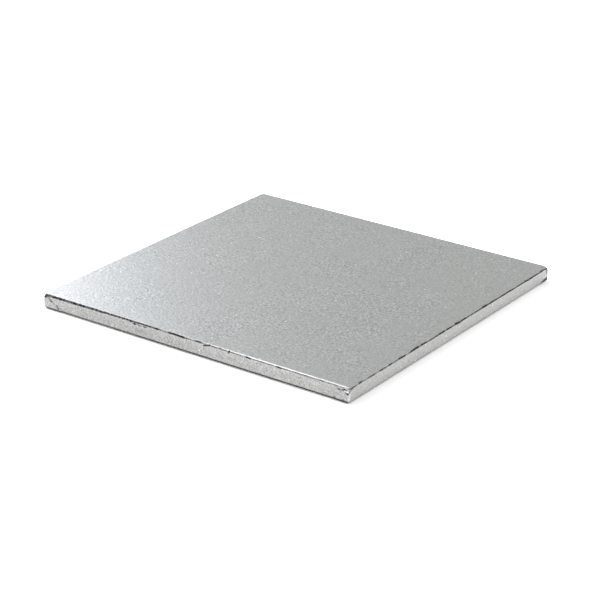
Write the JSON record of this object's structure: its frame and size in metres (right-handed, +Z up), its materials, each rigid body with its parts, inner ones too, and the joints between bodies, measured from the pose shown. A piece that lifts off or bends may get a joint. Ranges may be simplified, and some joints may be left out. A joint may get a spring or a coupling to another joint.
{
  "type": "cake board",
  "caption": "Square stiff cake board wrapped in embossed silver foil, with folded corners and a plain paper underside.",
  "frame": {"origin": "centre of the underside, where the backing sheet rests on the table", "axes": "+Z up, square to the top face; X runs along the two sides that carry the folded ears of the corners, Y along the two plain sides"},
  "size_m": [0.3, 0.3, 0.013],
  "materials": {
    "greyboard": "raw greyboard, matt",
    "silver_foil": "silver foil on paper, finely embossed, satin",
    "backing_paper": "smooth uncoated paper, matt"
  },
  "bodies": {
    "root": {"core_board": "greyboard", "foil_wrap": "silver_foil", "backing_sheet": "backing_paper"}
  },
  "joints": []
}
